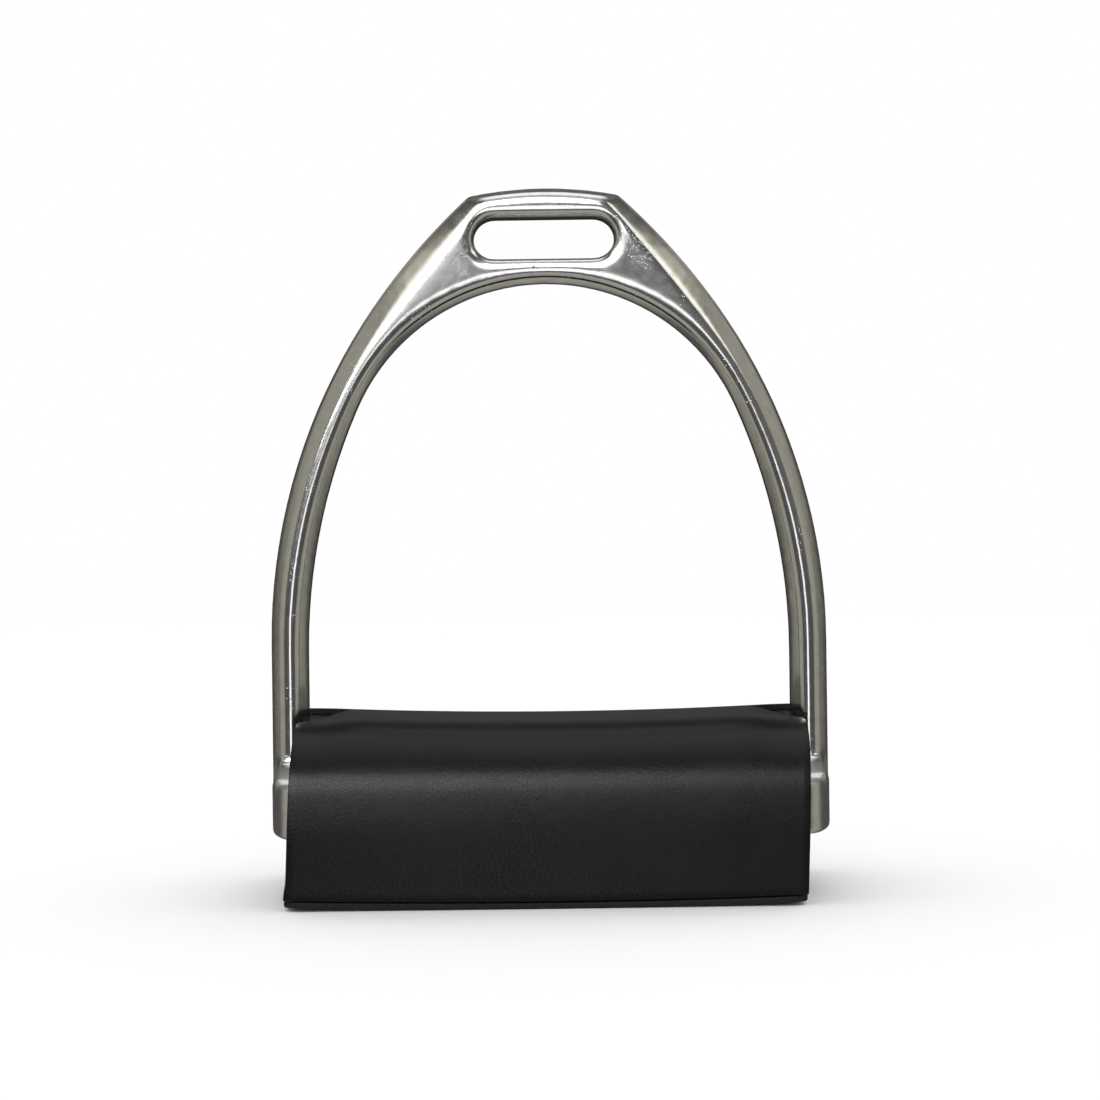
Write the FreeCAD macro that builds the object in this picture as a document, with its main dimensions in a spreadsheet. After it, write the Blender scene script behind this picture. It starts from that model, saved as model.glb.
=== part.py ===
import FreeCAD, Part
import math
import os
import Sketcher

# Stirrup iron with a rubber tread and a padded leather tread cover. Millimetres.
# X runs across the iron, Y from front (-) to back (+), Z up. The origin is in the middle of
# the underside of the cover, on which the iron stands.

SIZES = [
    ("inside_width", 120.0, "clear width between the branches, the size a stirrup iron is sold by"),
    ("branch_width", 9.4, "width of a branch seen from the front"),
    ("iron_height", 160.2, "underside of the tread to the top of the eye"),
    ("eye_height", 23.9, "inside of the arch to the top of the eye"),
    ("inner_curve_height", 115.5, "top of the eye to where the inner side becomes straight"),
    ("outer_curve_height", 113.3, "top of the eye to where the outer side becomes straight"),
    ("arch_inset", 8.5, "how much smaller the arch radius is than half the inside width"),
    ("eye_margin", 0.4, "top edge of the eye past each end of the slot"),
    ("eye_crown_radius", 97.0, "radius of the slightly crowned top edge of the eye"),
    ("eye_corner_radius", 2.6, "rounding at each end of the top edge"),
    ("shoulder_shift", 0.7, "shoulder point, inward from halfway between eye and outer side"),
    ("shoulder_drop", 29.3, "shoulder point, down from the top of the eye"),
    ("bow_depth", 10.0, "branches and eye, front to back"),
    ("edge_land", 2.0, "flat rim between the front and back bevels"),
    ("top_bevel", 1.9, "bevel along the top edge of the eye"),
    ("face_corner_radius", 5.0, "rounding at each end of the top of the front face"),
    ("eye_bevel", 4.7, "how far the front face stops short of the end of the top edge"),
    ("shoulder_bevel_in", 4.2, "bevel at the shoulder point, sideways"),
    ("shoulder_bevel_drop", 3.1, "bevel at the shoulder point, downward"),
    ("outer_bevel", 3.5, "bevel on the outer side of a branch"),
    ("inner_bevel", 3.05, "bevel on the inner side of a branch"),
    ("arch_bevel", 1.7, "bevel under the top of the arch"),
    ("arch_bevel_growth", 0.65, "extra inset of the arch radius along the bevel"),
    ("face_edge_round", 2.0, "rounding between the faces and the bevels"),
    ("rim_edge_round", 0.9, "rounding between the bevels and the rim"),
    ("slot_width", 35.2, "leather slot, side to side"),
    ("slot_height", 10.3, "leather slot, top to bottom"),
    ("slot_drop", 12.7, "top of the eye to the middle of the leather slot"),
    ("slot_lip", 1.8, "rounding of the rim of the leather slot"),
    ("tread_height", 13.0, "height of the tread frame"),
    ("tread_depth", 38.0, "tread frame, front to back"),
    ("tread_wall", 5.0, "wall of the tread frame"),
    ("tread_floor", 3.0, "floor that carries the rubber"),
    ("tread_end_radius", 40.0, "curve of each end of the tread frame, seen from above"),
    ("tread_corner", 5.0, "corner radius of the tread frame, seen from above"),
    ("tread_edge", 1.2, "rounding of the lower edge of the tread frame"),
    ("recess_inset", 0.5, "recess for the rubber, short of the inside of each branch"),
    ("recess_corner", 4.0, "corner radius of the recess for the rubber"),
    ("window_ledge", 4.0, "ledge left round each window in the floor"),
    ("centre_bar", 8.0, "bar between the two windows"),
    ("flare_rise", 5.0, "how far the foot of a branch flares above the tread frame"),
    ("flare_block", 1.2, "height of the upright part of the flare"),
    ("flare_half_depth", 13.5, "half the depth of the flare at the tread frame"),
    ("flare_inset", 0.6, "flare short of the inner side of the branch"),
    ("flare_tuck", 1.7, "flare short of the outer side of the branch"),
    ("rubber_fit", 0.2, "gap round the rubber in the frame"),
    ("rubber_rise", 3.2, "rubber above the tread frame"),
    ("rib_pitch", 6.0, "spacing of the grip grooves"),
    ("rib_gap", 2.0, "width of a grip groove"),
    ("rib_depth", 1.2, "depth of a grip groove"),
    ("leather_thickness", 1.5, "leather of cover and flap"),
    ("foam_thickness", 11.2, "foam of the cover"),
    ("flap_foam_thickness", 12.5, "foam of the flap"),
    ("lining_thickness", 0.8, "lining of cover and flap"),
    ("fit_gap", 0.3, "gap above and below the tread, and between cover and flap"),
    ("side_gap", 0.5, "gap in front of and behind the tread frame"),
    ("cover_overhang", 2.0, "cover past the inside of each branch"),
    ("cover_corner_radius", 17.0, "rounding along the top edges of the cover"),
    ("cavity_corner_radius", 4.0, "rounding along the top of the cavity"),
    ("notch_reach", 11.8, "notch for the branch, in from the end of the cover"),
    ("notch_half_width", 16.0, "half the width of the notch at the end of the cover"),
    ("notch_tip_radius", 2.0, "rounding at the tip of the notch"),
    ("flap_corner_radius", 3.0, "rounding of the flap's corners, seen from above"),
    ("flap_swing_gap", 2.0, "room in front of the flap's padding so that it can swing out"),
    ("strip_base", 0.5, "woven base of the hook and loop strips"),
    ("strip_pile", 0.5, "hooks or loops above the base"),
    ("strip_width", 12.0, "hook and loop strips, front to back"),
    ("strip_border", 1.5, "bare border along each strip"),
    ("strip_inset", 2.0, "strip back from the front edge"),
    ("strip_end", 7.0, "strip short of each end of the cover"),
    ("thread_radius", 0.3, "sewing thread"),
    ("stitch_length", 3.4, "one stitch"),
    ("stitch_pitch", 5.0, "spacing of the stitches"),
    ("seam_rise", 5.0, "hinge seam above the lower edge of the back panel"),
    ("overlap", 1.0, "how far joined shapes run into each other and cuts run past a surface"),
]

# Places worked out from the driving sizes.
PLACES = [
    ("half_in", "sizes.inside_width / 2"),
    ("half_out", "half_in + sizes.branch_width"),
    ("flap_top", "sizes.leather_thickness + sizes.flap_foam_thickness + sizes.lining_thickness"),
    ("panel_low", "sizes.leather_thickness + sizes.fit_gap"),
    ("loop_low", "sizes.leather_thickness + sizes.strip_base + sizes.strip_pile + sizes.fit_gap"),
    ("hem_low", "loop_low + sizes.strip_pile + sizes.strip_base"),
    ("tread_low", "flap_top + sizes.fit_gap"),
    ("floor_top", "tread_low + sizes.tread_floor"),
    ("tread_top", "tread_low + sizes.tread_height"),
    ("rubber_top", "tread_top + sizes.rubber_rise"),
    ("cavity_top", "rubber_top + sizes.fit_gap"),
    ("padding", "sizes.lining_thickness + sizes.foam_thickness + sizes.leather_thickness"),
    ("cover_top", "cavity_top + padding"),
    ("cavity_half", "sizes.tread_depth / 2 + sizes.side_gap"),
    ("cover_half", "cavity_half + padding"),
    ("cover_end", "half_in + sizes.cover_overhang"),
    ("iron_top", "tread_low + sizes.iron_height"),
    ("arch_top", "iron_top - sizes.eye_height"),
    ("eye_half", "sizes.slot_width / 2 + sizes.eye_margin"),
    ("shoulder_across", "(eye_half + half_out) / 2 - sizes.shoulder_shift"),
    ("shoulder_height", "iron_top - sizes.shoulder_drop"),
    ("outer_straight_top", "iron_top - sizes.outer_curve_height"),
    ("inner_straight_top", "iron_top - sizes.inner_curve_height"),
    ("slot_middle", "iron_top - sizes.slot_drop"),
    ("recess_end", "half_in - sizes.recess_inset"),
    ("recess_half", "sizes.tread_depth / 2 - sizes.tread_wall"),
    ("window_end", "recess_end - sizes.window_ledge"),
    ("window_half", "recess_half - sizes.window_ledge"),
    ("notch_side", "sqrt(sizes.notch_reach ^ 2 + sizes.notch_half_width ^ 2)"),
    ("strip_front", "cover_half - sizes.strip_inset"),
    ("strip_back", "strip_front - sizes.strip_width"),
    ("strip_half_length", "cover_end - sizes.strip_end"),
    ("flap_front", "cavity_half - sizes.flap_swing_gap"),
    ("flap_back", "cavity_half - sizes.fit_gap"),
]

doc = FreeCAD.newDocument("stirrup_iron")
sheet = doc.addObject("Spreadsheet::Sheet", "sizes")
for row, (alias, size, meaning) in enumerate(SIZES, 1):
    sheet.set(f"A{row}", meaning)
    sheet.set(f"B{row}", str(size))
    sheet.setAlias(f"B{row}", alias)
doc.recompute()

places = doc.addObject("App::VarSet", "places")
for name, formula in PLACES:
    places.addProperty("App::PropertyFloat", name)
    places.setExpression(name, formula)
doc.recompute()


NAMES = [name for name, _ in PLACES]


def bound(formula):
    """A formula that names places in braces, as another object of the document reads it."""
    return formula.format_map({name: f"places.{name}" for name in NAMES})


def number(formula):
    """The number that such a formula comes to."""
    return float(places.evalExpression(formula.format_map({name: name for name in NAMES})))


def new_body(label):
    body = doc.addObject("PartDesign::Body", label)
    body.Label = label
    return body


def new_sketch(body, name, plane, offset="0"):
    """A sketch on one of the body's own origin planes, moved along its normal."""
    sketch = body.newObject("Sketcher::SketchObject", name)
    support = next(part for part in body.Origin.OriginFeatures if part.Role == plane)
    sketch.AttachmentSupport = [(support, "")]
    sketch.MapMode = "FlatFace"
    sketch.setExpression("AttachmentOffset.Base.z", bound(offset))
    return sketch


def fix(sketch, kind, *spots, formula):
    """Adds a dimension and binds it to a formula."""
    index = sketch.addConstraint(Sketcher.Constraint(kind, *spots, number(formula)))
    sketch.setExpression(f"Constraints[{index}]", bound(formula))


def arc_between(start, end, radius, turn):
    """The short arc from start to end; turn +1 goes round to the left, -1 to the right."""
    chord = end - start
    half = chord.Length / 2
    lift = math.sqrt(max(radius ** 2 - half ** 2, 0.0))
    side = FreeCAD.Vector(-chord.y, chord.x, 0).normalize()
    centre = (start + end) / 2 + side * lift * turn
    middle = centre - side * radius * turn
    return Part.Arc(start, middle, end)


def outline(sketch, corners):
    """A closed outline. A corner is (x, y) with a straight run to the next one, or
    (x, y, radius, turn) with an arc to it."""
    first = sketch.GeometryCount
    points = [FreeCAD.Vector(number(c[0]), number(c[1]), 0) for c in corners]
    for index, corner in enumerate(corners):
        start = points[index]
        end = points[(index + 1) % len(points)]
        if len(corner) == 2:
            sketch.addGeometry(Part.LineSegment(start, end))
        else:
            sketch.addGeometry(arc_between(start, end, number(corner[2]), corner[3]))
    # Sketcher keeps every arc counter-clockwise, so a right-hand arc starts at its far end.
    ends = [(2, 1) if len(c) == 4 and c[3] < 0 else (1, 2) for c in corners]
    for index, corner in enumerate(corners):
        after = (index + 1) % len(corners)
        here = first + index
        sketch.addConstraint(Sketcher.Constraint(
            "Coincident", here, ends[index][1], first + after, ends[after][0]))
        fix(sketch, "DistanceX", -1, 1, here, ends[index][0], formula=corner[0])
        fix(sketch, "DistanceY", -1, 1, here, ends[index][0], formula=corner[1])
        if len(corner) == 4:
            fix(sketch, "Radius", here, formula=corner[2])


def rounded_box(sketch, low_x, high_x, low_y, high_y, radius):
    outline(sketch, [
        (f"{low_x} + {radius}", low_y), (f"{high_x} - {radius}", low_y, radius, 1),
        (high_x, f"{low_y} + {radius}"), (high_x, f"{high_y} - {radius}", radius, 1),
        (f"{high_x} - {radius}", high_y), (f"{low_x} + {radius}", high_y, radius, 1),
        (low_x, f"{high_y} - {radius}"), (low_x, f"{low_y} + {radius}", radius, 1)])


def plain_box(sketch, low_x, high_x, low_y, high_y):
    outline(sketch, [(low_x, low_y), (high_x, low_y), (high_x, high_y), (low_x, high_y)])


def pad(body, name, sketch, length, both_ways=False, reverse=False):
    feature = body.newObject("PartDesign::Pad", name)
    feature.Profile = sketch
    feature.setExpression("Length", bound(length))
    feature.Midplane = both_ways
    feature.Reversed = reverse
    return feature


def pocket(body, name, sketch, length, both_ways=False, reverse=False):
    """A pocket that must take material away."""
    before = body.Shape.Volume
    feature = body.newObject("PartDesign::Pocket", name)
    feature.Profile = sketch
    feature.setExpression("Length", bound(length))
    feature.Midplane = both_ways
    feature.Reversed = reverse
    doc.recompute()
    if not body.Shape.Volume < before:
        raise RuntimeError(f"{name} takes nothing away")
    return feature


# ---- the iron ----

def rim_outline(sketch, top, eye_half, corner_radius, side, shoulder_across, shoulder_height):
    """Right half of the outline of the bow: crowned top, eye corner, shoulder, branch, foot.
    Only the crown and the corner have a radius; the others follow from the tangencies."""
    crown_radius = number("sizes.eye_crown_radius")
    high = number(top)
    wide = number(side)
    low = number("{tread_top} - 1")
    straight = number("{outer_straight_top}")
    corner = number(corner_radius)
    crown = FreeCAD.Vector(0, high - crown_radius, 0)
    lean = math.asin(number(eye_half) / crown_radius)
    ray = FreeCAD.Vector(math.sin(lean), math.cos(lean), 0)
    corner_centre = crown + ray * (crown_radius - corner)
    shoulder = FreeCAD.Vector(number(shoulder_across), number(shoulder_height), 0)
    run = wide - shoulder.x
    branch_radius = (run ** 2 + (shoulder.y - straight) ** 2) / (2 * run)
    branch_centre = FreeCAD.Vector(wide - branch_radius, straight, 0)
    out = (shoulder - branch_centre).normalize()
    gap = shoulder - corner_centre
    shoulder_radius = (gap.Length ** 2 - corner ** 2) / (2 * (gap.dot(out) - corner))
    shoulder_centre = shoulder - out * shoulder_radius
    corner_end = corner_centre + (corner_centre - shoulder_centre).normalize() * corner
    crown_end = crown + ray * crown_radius

    def arc(centre, radius, start, end):
        """The arc about centre whose start is clockwise of its end."""
        first_angle = math.atan2(start.y - centre.y, start.x - centre.x)
        last_angle = math.atan2(end.y - centre.y, end.x - centre.x)
        circle = Part.Circle(centre, FreeCAD.Vector(0, 0, 1), radius)
        return Part.ArcOfCircle(circle, first_angle, last_angle)

    top_point = FreeCAD.Vector(0, high, 0)
    side_top = FreeCAD.Vector(wide, straight, 0)
    side_low = FreeCAD.Vector(wide, low, 0)
    axis_low = FreeCAD.Vector(0, low, 0)
    crown_arc = sketch.addGeometry(arc(crown, crown_radius, crown_end, top_point))
    corner_arc = sketch.addGeometry(arc(corner_centre, corner, corner_end, crown_end))
    shoulder_arc = sketch.addGeometry(arc(shoulder_centre, shoulder_radius, shoulder, corner_end))
    branch_arc = sketch.addGeometry(arc(branch_centre, branch_radius, side_top, shoulder))
    side_line = sketch.addGeometry(Part.LineSegment(side_top, side_low))
    foot_line = sketch.addGeometry(Part.LineSegment(side_low, axis_low))
    axis_line = sketch.addGeometry(Part.LineSegment(axis_low, top_point))
    for one, two in ((crown_arc, corner_arc), (corner_arc, shoulder_arc),
                     (shoulder_arc, branch_arc)):
        sketch.addConstraint(Sketcher.Constraint("Tangent", one, 1, two, 2))
    sketch.addConstraint(Sketcher.Constraint("Tangent", branch_arc, 1, side_line, 1))
    sketch.addConstraint(Sketcher.Constraint("Coincident", side_line, 2, foot_line, 1))
    sketch.addConstraint(Sketcher.Constraint("Coincident", foot_line, 2, axis_line, 1))
    sketch.addConstraint(Sketcher.Constraint("Coincident", axis_line, 2, crown_arc, 2))
    sketch.addConstraint(Sketcher.Constraint("PointOnObject", crown_arc, 3, -2))
    sketch.addConstraint(Sketcher.Constraint("PointOnObject", axis_line, 1, -2))
    sketch.addConstraint(Sketcher.Constraint("PointOnObject", axis_line, 2, -2))
    sketch.addConstraint(Sketcher.Constraint("Vertical", side_line))
    sketch.addConstraint(Sketcher.Constraint("Horizontal", foot_line))
    fix(sketch, "Radius", crown_arc, formula="sizes.eye_crown_radius")
    fix(sketch, "Radius", corner_arc, formula=corner_radius)
    fix(sketch, "DistanceY", -1, 1, crown_arc, 2, formula=top)
    fix(sketch, "DistanceX", -1, 1, crown_arc, 1, formula=eye_half)
    fix(sketch, "DistanceX", -1, 1, shoulder_arc, 1, formula=shoulder_across)
    fix(sketch, "DistanceY", -1, 1, shoulder_arc, 1, formula=shoulder_height)
    fix(sketch, "DistanceX", -1, 1, side_line, 1, formula=side)
    fix(sketch, "DistanceY", -1, 1, side_line, 1, formula="{outer_straight_top}")
    fix(sketch, "DistanceY", -1, 1, side_line, 2, formula="{tread_top} - 1")


def opening_outline(sketch, top, side, inset):
    """Right half of the foot opening: a round arch, a long side arc, a straight side."""
    high = number(top)
    wide = number(side)
    arch_radius = wide - number(inset)
    low = number("{tread_low}")
    straight = number("{inner_straight_top}")
    arch = FreeCAD.Vector(0, high - arch_radius, 0)
    fall = arch.y - straight
    side_radius = (wide ** 2 + fall ** 2 - arch_radius ** 2) / (2 * (wide - arch_radius))
    side_centre = FreeCAD.Vector(wide - side_radius, straight, 0)
    join = arch + (arch - side_centre).normalize() * arch_radius
    top_point = FreeCAD.Vector(0, high, 0)
    side_top = FreeCAD.Vector(wide, straight, 0)
    side_low = FreeCAD.Vector(wide, low, 0)
    axis_low = FreeCAD.Vector(0, low, 0)
    up = FreeCAD.Vector(0, 0, 1)
    join_angle = math.atan2(join.y - arch.y, join.x - arch.x)
    side_angle = math.atan2(join.y - side_centre.y, join.x - side_centre.x)
    arch_arc = sketch.addGeometry(Part.ArcOfCircle(
        Part.Circle(arch, up, arch_radius), join_angle, math.pi / 2))
    side_arc = sketch.addGeometry(Part.ArcOfCircle(
        Part.Circle(side_centre, up, side_radius), 0.0, side_angle))
    side_line = sketch.addGeometry(Part.LineSegment(side_top, side_low))
    foot_line = sketch.addGeometry(Part.LineSegment(side_low, axis_low))
    axis_line = sketch.addGeometry(Part.LineSegment(axis_low, top_point))
    sketch.addConstraint(Sketcher.Constraint("Tangent", arch_arc, 1, side_arc, 2))
    sketch.addConstraint(Sketcher.Constraint("Tangent", side_arc, 1, side_line, 1))
    sketch.addConstraint(Sketcher.Constraint("Coincident", side_line, 2, foot_line, 1))
    sketch.addConstraint(Sketcher.Constraint("Coincident", foot_line, 2, axis_line, 1))
    sketch.addConstraint(Sketcher.Constraint("Coincident", axis_line, 2, arch_arc, 2))
    sketch.addConstraint(Sketcher.Constraint("PointOnObject", arch_arc, 3, -2))
    sketch.addConstraint(Sketcher.Constraint("PointOnObject", axis_line, 1, -2))
    sketch.addConstraint(Sketcher.Constraint("PointOnObject", axis_line, 2, -2))
    sketch.addConstraint(Sketcher.Constraint("Vertical", side_line))
    sketch.addConstraint(Sketcher.Constraint("Horizontal", foot_line))
    fix(sketch, "Radius", arch_arc, formula=f"{side} - ({inset})")
    fix(sketch, "DistanceY", -1, 1, arch_arc, 2, formula=top)
    fix(sketch, "DistanceX", -1, 1, side_line, 1, formula=side)
    fix(sketch, "DistanceY", -1, 1, side_line, 1, formula="{inner_straight_top}")
    fix(sketch, "DistanceY", -1, 1, side_line, 2, formula="{tread_low}")


def ruled_loft(body, kind, name, sketches):
    loft = body.newObject(kind, name)
    loft.Profile = sketches[0]
    loft.Sections = sketches[1:]
    loft.Ruled = True
    return loft


def edges_where(feature, wanted):
    """The names of the feature's edges that the test picks."""
    return [f"Edge{index}" for index, edge in enumerate(feature.Shape.Edges, 1) if wanted(edge)]


def bow_edges(feature, level):
    """The edges along the bow in the planes at this distance to the front and the back."""
    away = number(level)
    foot = number("{tread_top} - 1")

    def along_the_bow(edge):
        ends = [edge.valueAt(edge.FirstParameter), edge.valueAt(edge.LastParameter)]
        in_plane = all(abs(abs(end.y) - away) < 1e-3 for end in ends)
        on_axis = all(abs(end.x) < 1e-3 for end in ends)
        at_foot = all(abs(end.z - foot) < 1e-3 for end in ends)
        return in_plane and not on_axis and not at_foot

    return edges_where(feature, along_the_bow)


def round_edges(body, name, edges, radius):
    base = body.Tip
    feature = body.newObject("PartDesign::Fillet", name)
    feature.Base = (base, edges)
    feature.setExpression("Radius", radius)
    doc.recompute()
    if not edges or "Invalid" in feature.State:
        raise RuntimeError(f"{name} is not rounded")


def make_iron():
    """One casting. The right half is modelled and mirrored."""
    body = new_body("iron_casting")
    # Four outlines from front to back: face, rim, rim, face.
    levels = [("front_face", "sizes.bow_depth / 2", True), ("front_rim", "sizes.edge_land / 2", False),
              ("back_rim", "-sizes.edge_land / 2", False), ("back_face", "-sizes.bow_depth / 2", True)]
    rims = []
    holes = []
    for name, offset, is_face in levels:
        rim = new_sketch(body, f"{name}_outline", "XZ_Plane", offset)
        if is_face:
            rim_outline(rim, "{iron_top} - sizes.top_bevel", "{eye_half} - sizes.eye_bevel",
                        "sizes.face_corner_radius", "{half_out} - sizes.outer_bevel",
                        "{shoulder_across} - sizes.shoulder_bevel_in",
                        "{shoulder_height} - sizes.shoulder_bevel_drop")
        else:
            rim_outline(rim, "{iron_top}", "{eye_half}", "sizes.eye_corner_radius",
                        "{half_out}", "{shoulder_across}", "{shoulder_height}")
        rims.append(rim)
    ruled_loft(body, "PartDesign::AdditiveLoft", "bow", rims)
    for name, offset, is_face in levels:
        hole = new_sketch(body, f"{name}_opening", "XZ_Plane", offset)
        if is_face:
            opening_outline(hole, "{arch_top} + sizes.arch_bevel", "{half_in} + sizes.inner_bevel",
                            "sizes.arch_inset + sizes.arch_bevel_growth")
        else:
            opening_outline(hole, "{arch_top}", "{half_in}", "sizes.arch_inset")
        holes.append(hole)
    doc.recompute()
    ruled_loft(body, "PartDesign::SubtractiveLoft", "foot_opening", holes)
    doc.recompute()
    round_edges(body, "face_edges", bow_edges(body.Tip, "sizes.bow_depth / 2"), "sizes.face_edge_round")
    round_edges(body, "rim_edges", bow_edges(body.Tip, "sizes.edge_land / 2"), "sizes.rim_edge_round")

    # Leather slot through the eye, with a rounded rim.
    slot = new_sketch(body, "slot_outline", "XZ_Plane")
    slot_end = "sizes.slot_width / 2 - sizes.slot_height / 2"
    outline(slot, [("0", "{slot_middle} - sizes.slot_height / 2"),
                   (slot_end, "{slot_middle} - sizes.slot_height / 2", "sizes.slot_height / 2", 1),
                   ("sizes.slot_width / 2", "{slot_middle}", "sizes.slot_height / 2", 1),
                   (slot_end, "{slot_middle} + sizes.slot_height / 2"),
                   ("0", "{slot_middle} + sizes.slot_height / 2")])
    pocket(body, "leather_slot", slot, "sizes.bow_depth * 2", both_ways=True)
    face = number("sizes.bow_depth / 2")
    middle = number("{slot_middle}")
    reach = number("sizes.slot_width") / 2
    half_height = number("sizes.slot_height") / 2

    def on_slot_rim(edge):
        box = edge.BoundBox
        flat = abs(box.YMin - box.YMax) < 1e-4 and abs(abs(box.YMin) - face) < 1e-4
        inside = (box.XMax < reach + 0.01 and box.ZMin > middle - half_height - 0.01
                  and box.ZMax < middle + half_height + 0.01)
        return flat and inside and box.XMax - box.XMin > 0.01

    round_edges(body, "slot_rim", edges_where(body.Tip, on_slot_rim), "sizes.slot_lip")

    # Tread frame: walls, floor with windows, and the flared foot of the branch.
    frame = new_sketch(body, "tread_outline", "XY_Plane", "{tread_low}")
    half_depth = "sizes.tread_depth / 2"
    end_bow = f"(sizes.tread_end_radius - sqrt(sizes.tread_end_radius ^ 2 - ({half_depth}) ^ 2))"
    outline(frame, [("0", f"-{half_depth}"),
                    (f"{{half_out}} - {end_bow}", f"-{half_depth}", "sizes.tread_end_radius", 1),
                    (f"{{half_out}} - {end_bow}", half_depth), ("0", half_depth)])
    pad(body, "tread_frame", frame, "sizes.tread_height")
    doc.recompute()
    corner_across = number(f"{{half_out}} - {end_bow}")

    def on_frame_corner(edge):
        box = edge.BoundBox
        return (abs(box.XMin - corner_across) < 0.01 and abs(box.XMax - corner_across) < 0.01
                and box.ZMax - box.ZMin > 1 and abs(abs(box.YMin) - number(half_depth)) < 0.01)

    round_edges(body, "tread_corners", edges_where(body.Tip, on_frame_corner), "sizes.tread_corner")
    low = number("{tread_low}")

    def on_lower_edge(edge):
        box = edge.BoundBox
        return abs(box.ZMin - low) < 1e-4 and abs(box.ZMax - low) < 1e-4 and box.XMax > 0.01

    round_edges(body, "tread_edge", edges_where(body.Tip, on_lower_edge), "sizes.tread_edge")
    recess = new_sketch(body, "recess_outline", "XY_Plane", "{floor_top}")
    recess_corner = "sizes.recess_corner"
    outline(recess, [("0", "-{recess_half}"),
                     (f"{{recess_end}} - ({recess_corner})", "-{recess_half}", recess_corner, 1),
                     ("{recess_end}", f"-{{recess_half}} + {recess_corner}"),
                     ("{recess_end}", f"{{recess_half}} - ({recess_corner})", recess_corner, 1),
                     (f"{{recess_end}} - ({recess_corner})", "{recess_half}"), ("0", "{recess_half}")])
    pocket(body, "rubber_recess", recess, "sizes.tread_height", reverse=True)
    window = new_sketch(body, "window_outline", "XY_Plane", "{floor_top} + sizes.overlap")
    plain_box(window, "sizes.centre_bar / 2", "{window_end}", "-{window_half}", "{window_half}")
    pocket(body, "floor_window", window, "sizes.tread_floor + sizes.overlap * 2")
    flare = new_sketch(body, "flare_outline", "YZ_Plane", "{half_in} + sizes.flare_inset")
    outline(flare, [("-sizes.flare_half_depth", "{tread_top} - sizes.overlap"),
                    ("sizes.flare_half_depth", "{tread_top} - sizes.overlap"),
                    ("sizes.flare_half_depth", "{tread_top} + sizes.flare_block"),
                    ("sizes.bow_depth / 2 - sizes.overlap", "{tread_top} + sizes.flare_rise"),
                    ("-sizes.bow_depth / 2 + sizes.overlap", "{tread_top} + sizes.flare_rise"),
                    ("-sizes.flare_half_depth", "{tread_top} + sizes.flare_block")])
    pad(body, "branch_foot", flare, "sizes.branch_width - sizes.flare_inset - sizes.flare_tuck")
    doc.recompute()

    whole = body.newObject("PartDesign::Mirrored", "both_halves")
    if "TransformMode" in whole.PropertiesList:
        whole.TransformMode = "Whole shape"
    side_plane = next(part for part in body.Origin.OriginFeatures if part.Role == "YZ_Plane")
    whole.MirrorPlane = (side_plane, [""])
    body.Tip = whole
    return body


def make_rubber():
    """Rubber tread: fills the recess, plugs the windows and stands proud with grip grooves."""
    body = new_body("tread_rubber")
    block = new_sketch(body, "block_outline", "XY_Plane", "{floor_top}")
    rounded_box(block, "-({recess_end} - sizes.rubber_fit)", "({recess_end} - sizes.rubber_fit)",
                "-({recess_half} - sizes.rubber_fit)", "({recess_half} - sizes.rubber_fit)",
                "sizes.recess_corner")
    pad(body, "block", block, "{rubber_top} - {floor_top}")
    plugs = new_sketch(body, "plug_outline", "XY_Plane", "{floor_top}")
    near = "(sizes.centre_bar / 2 + sizes.rubber_fit)"
    far = "({window_end} - sizes.rubber_fit)"
    across = "({window_half} - sizes.rubber_fit)"
    plain_box(plugs, near, far, f"-{across}", across)
    plain_box(plugs, f"-{far}", f"-{near}", f"-{across}", across)
    pad(body, "window_plugs", plugs, "sizes.tread_floor - sizes.rubber_fit", reverse=True)
    doc.recompute()
    groove = new_sketch(body, "groove_outline", "XY_Plane", "{rubber_top}")
    plain_box(groove, "-sizes.rib_gap / 2", "sizes.rib_gap / 2",
              "-{recess_half} + sizes.tread_wall / 2", "{recess_half} - sizes.tread_wall / 2")
    cut = pocket(body, "grip_groove", groove, "sizes.rib_depth")
    room = number("{recess_end} - sizes.recess_corner - sizes.rib_pitch")
    each_way = int(room // number("sizes.rib_pitch"))
    axis = next(part for part in body.Origin.OriginFeatures if part.Role == "X_Axis")
    tip = body.newObject("PartDesign::LinearPattern", "grooves_right")
    tip.Originals = [cut]
    tip.Direction = (axis, [""])
    tip.setExpression("Length", f"sizes.rib_pitch * {each_way}")
    tip.Occurrences = each_way + 1
    body.Tip = tip
    doc.recompute()
    left = body.newObject("PartDesign::LinearPattern", "grooves_left")
    left.Originals = [cut]
    left.Direction = (axis, [""])
    left.Reversed = True
    left.setExpression("Length", f"sizes.rib_pitch * {each_way}")
    left.Occurrences = each_way + 1
    body.Tip = left
    return body


# ---- the cover ----

def hoop(half, top, radius, turn):
    """Corners of a round-shouldered hoop, up one side, over the top and down the other;
    turn -1 goes from front to back, +1 from back to front."""
    side = "-" if turn < 0 else ""
    other = "" if turn < 0 else "-"
    inner = f"({half} - ({radius}))"
    return [(f"{side}({half})", f"{top} - ({radius})", radius, turn), (f"{side}{inner}", top),
            (f"{other}{inner}", top, radius, turn), (f"{other}({half})", f"{top} - ({radius})")]


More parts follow.
